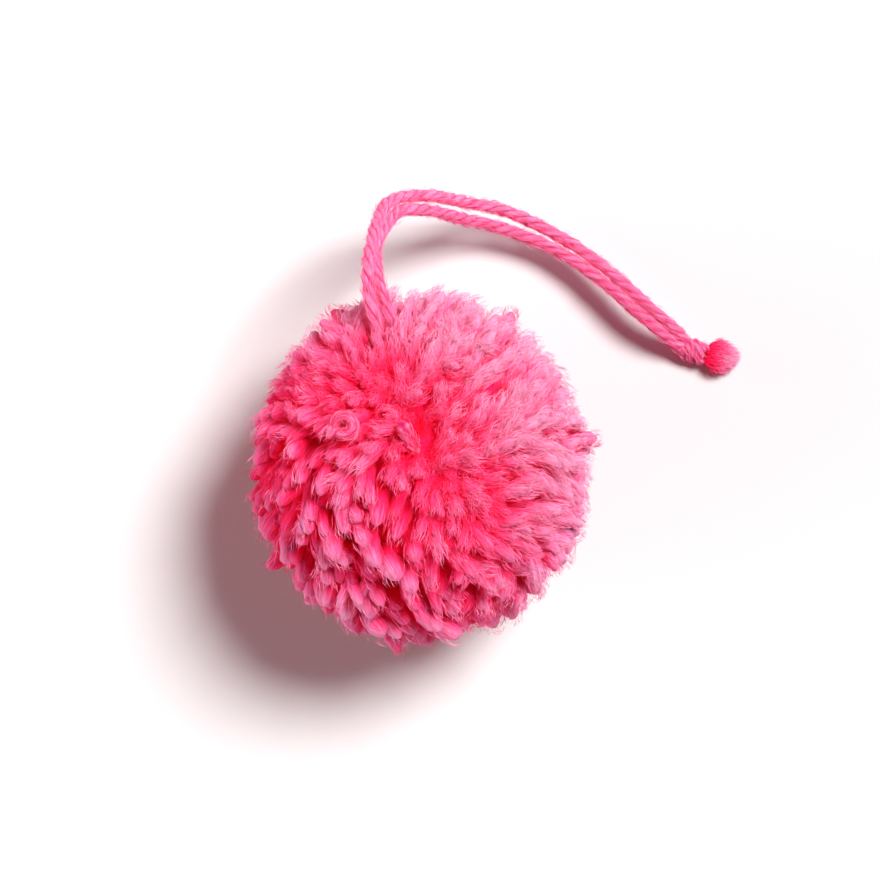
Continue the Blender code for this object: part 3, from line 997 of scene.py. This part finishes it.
def depthOf(points):
    # 0 at the ball's outside and 1 well down between the locks: painted shade between the locks. Near the
    # parting and away from the upper right the yarn is drawn further along the ramp as painted shade, and
    # towards the upper right it is drawn paler as painted light.
    out = points - ballCentre
    radius = np.linalg.norm(out, axis=-1)
    flat = unit(out).reshape(-1, 3)
    angle, dip = nearParting(flat)
    dip = dip * (1 - rise(angle, 0, math.radians(ballDepth["dipWidths"] * parting["width"])))
    brushedAndPaintedLight = towards(flat, ball["brushedAndPaintedLightAt"], *ballDepth["paintedLightFrom"]).reshape(radius.shape)
    canopy = ball["reach"] + ballDepth["canopy"] - ballDepth["dipShare"] * dip.reshape(radius.shape)
    middle = 1 - rise(angle, 0, math.radians(ballDepth["middleAngle"])).reshape(radius.shape)
    down = np.clip((canopy - radius) / (ballDepth["down"] + ballDepth["furtherAtPaintedLight"] * brushedAndPaintedLight), 0, 1)
    return down + ballDepth["firmAndPaintedShade"] * (1 - brushedAndPaintedLight) + ballDepth["middle"] * middle


def lockBodies(locks):
    rings = np.array(lockRings)
    count = len(locks["reach"])
    shape = spindle(8, len(rings) - 1)
    t = np.broadcast_to(rings[:, 0] * ball["bodyEnd"], (count, len(rings)))
    outer, side = lockSides(locks, t)
    share = ball["bodyShare"] - ball["bodyShrinks"] * (locks["fluff"] - 1) / fibres["fluff"]
    widths = rings[:, 1] * (locks["halfWidth"] * share)[:, None]
    widths = widths * (1 + ball["ringsVary"] * rng.normal(0, 1, t.shape))
    centres = lockLine(locks, t)
    points = sweepCopies(shape, centres, outer, side, widths)
    bulges = ball["bulges"] * rng.normal(0, 1, (*points.shape[:2], 1))
    points += (points - centres[:, shape["ring"]]) * bulges
    points[..., 2] = np.maximum(points[..., 2], 0)
    around = shape["around"]
    offsets = rng.uniform(0, 60, (count, 1))  # so that no two locks have the same streaks
    laid = np.stack([
        np.cos(around) * locks["halfWidth"][:, None] + offsets,
        np.sin(around) * locks["halfWidth"][:, None] + offsets,
        rings[shape["ring"], 0] * ball["streakLength"] + offsets,
    ], axis=-1)
    # painted shade: darker down between the locks and on each lock's sides and underside
    depth = depthOf(points) + ballDepth["body"] + ballDepth["edge"] * (1 - np.cos(around)) / 2
    shade = np.broadcast_to(locks["shade"][:, None], depth.shape)
    return makePiece("ballLocks", shape, points * mm, lockYarn, depth=depth, shade=shade, laid=laid)


def fibreCopies(locks, count, strays):
    # Loose fibres that follow the locks they lie on. Strays stand further off.
    total = len(locks["reach"])
    low, fewer = fibres["below"]
    weight = np.where(locks["direction"][:, 2] < low, fewer, 1.0) * locks["fluff"] ** 0.7
    own = chosen(locks, rng.choice(total, count, p=weight / weight.sum()))

    def column(values):
        return values[:, None]

    rings = 3 if strays else 2
    share = np.arange(rings + 1) / rings
    first = column(rng.uniform(*fibres["start"], count))
    last = first + column(rng.uniform(*fibres["length"], count)) * (2 if strays else 1)
    inside = rng.uniform(0, 1, count) < fibres["inside"]
    spread = column(np.where(inside, np.sqrt(rng.uniform(0, 1, count)), 1.0))
    cut = column(rng.normal(*fibres["cut"], count)) - fibres["rounded"] * spread**2
    first = np.where(last > cut, first - (last - cut) * 0.6, first)  # most of what is cut off moves down
    last = np.minimum(last, cut)
    t = first + (last - first) * share
    angle = column(rng.normal(0, fibres["spread"], count))
    angle = angle + column(rng.standard_t(3, count) * fibres["turns"]) * share
    profile = np.interp(t, *np.array(fibreShell).T)
    fluff = column(own["fluff"])
    if strays:
        flare = column(rng.gamma(*fibres["strayFlare"], count)) * share**1.3
        angle = angle + column(rng.normal(0, fibres["strayTurns"], count)) * share
    else:
        flare = column(rng.exponential(fibres["flare"], count)) * fluff * (fibres["flareAtStart"] + share)
    radius = profile * column(own["halfWidth"] * rng.uniform(*fibres["lies"], count)) * spread + flare
    outer, side = lockSides(own, t)
    out = outer * np.cos(angle)[..., None] + side * np.sin(angle)[..., None]
    around = side * np.cos(angle)[..., None] - outer * np.sin(angle)[..., None]
    wander = rng.normal(0, fibres["strayWander" if strays else "wander"], (count, rings + 1))[..., None]
    centres = lockLine(own, t) + out * radius[..., None] + around * wander * fluff[..., None]
    half = fibres["strayHalfWidth" if strays else "halfWidth"]
    widths = half * column(rng.uniform(*fibres["widthVaries"], count)) * np.sin(math.pi * share)
    shape = spindle(3, rings)
    points = sweepCopies(shape, centres, out, around, widths)
    points[..., 2] = np.maximum(points[..., 2], 0)
    # painted shade: darker down between the locks and on the sides and underside of the lock each fibre
    # lies on
    depth = depthOf(centres) + ballDepth["edge"] * (1 - np.cos(angle)) / 2
    depth = np.clip(depth, 0, 1)[:, shape["ring"]]
    shade = column(own["shade"] + rng.normal(*fibres["shade"], count))
    return shape, points * mm, depth, np.broadcast_to(shade, depth.shape)


def ballFibres(locks):
    made = []
    perPiece = fibres["perLock"] * ball["locks"] // fibres["pieces"]
    for number in range(fibres["pieces"]):
        shape, points, depth, shade = fibreCopies(locks, perPiece, False)
        name = f"ballFibres.{number + 1}"
        made.append(makePiece(name, shape, points, fibreYarn, depth=depth, shade=shade))
    shape, points, depth, shade = fibreCopies(locks, fibres["strays"], True)
    made.append(makePiece("ballStrays", shape, points, fibreYarn, depth=depth, shade=shade))
    return made


def ballCore():
    # The bound middle, which only shows as the depths between the locks.
    rings = 32
    shape = spindle(48, rings)
    tilt = shape["ring"] / rings * math.pi
    flat = np.stack([
        np.sin(tilt) * np.cos(shape["around"]), np.sin(tilt) * np.sin(shape["around"]), -np.cos(tilt)
    ], axis=1)
    ripple = np.sin(flat @ np.array([31, 17, 23])) * np.sin(flat @ np.array([-13, 29, 19]))
    points = (ballCentre + flat * (ball["coreRadius"] + ball["coreRipple"] * ripple[:, None])) * mm
    # painted shade: the core has the ramp's deepest, darkest colour all over
    one = np.ones((1, len(points)))
    laid = (flat * ball["coreRadius"])[None]
    return makePiece("ballCore", shape, points[None], lockYarn, depth=one, shade=0 * one, laid=laid)


def looseStrands():
    curl, cut = loose["curl"], loose["cut"]
    steps = 40
    t = np.linspace(0, 1, steps)
    angle = np.radians(curl["from"] + (curl["to"] - curl["from"]) * t)
    ringLine = np.stack([np.cos(angle), np.sin(angle), np.zeros(steps)], axis=1) * curl["radius"]
    ringLine = ringLine + curl["at"]
    ringLine[:, 2] -= curl["below"] * (1 - t) ** 2
    cutLine = np.array(cut["from"]) + (np.array(cut["to"]) - cut["from"]) * t[:, None]
    made = []
    for label, line in (("curl", ringLine), ("cut", cutLine)):
        points = evenlySpaced(line * mm, loose["ringSpacing"] * mm)
        turns = strandTurns(points, loose["turn"] * mm, loose["turn"] * mm, mm)
        sizes = [size * mm for size in loose[f"{label}Sizes"]]
        body = strandPiece(f"ballStrand.{label}", points, turns, *sizes, lockYarn, loose["deeper"])
        fuzz = strandFibres(
            f"ballStrandFuzz.{label}", points, turns, *sizes, loose["fibres"], fibreYarn,
            deeper=loose["deeper"],
        )
        made += [body, fuzz]
    return made


locks = makeLocks()
ballPieces = [ballCore(), lockBodies(locks), *ballFibres(locks), *looseStrands()]
for piece in ballPieces:
    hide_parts("pompom")
    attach(piece, "root")
print("ball made")
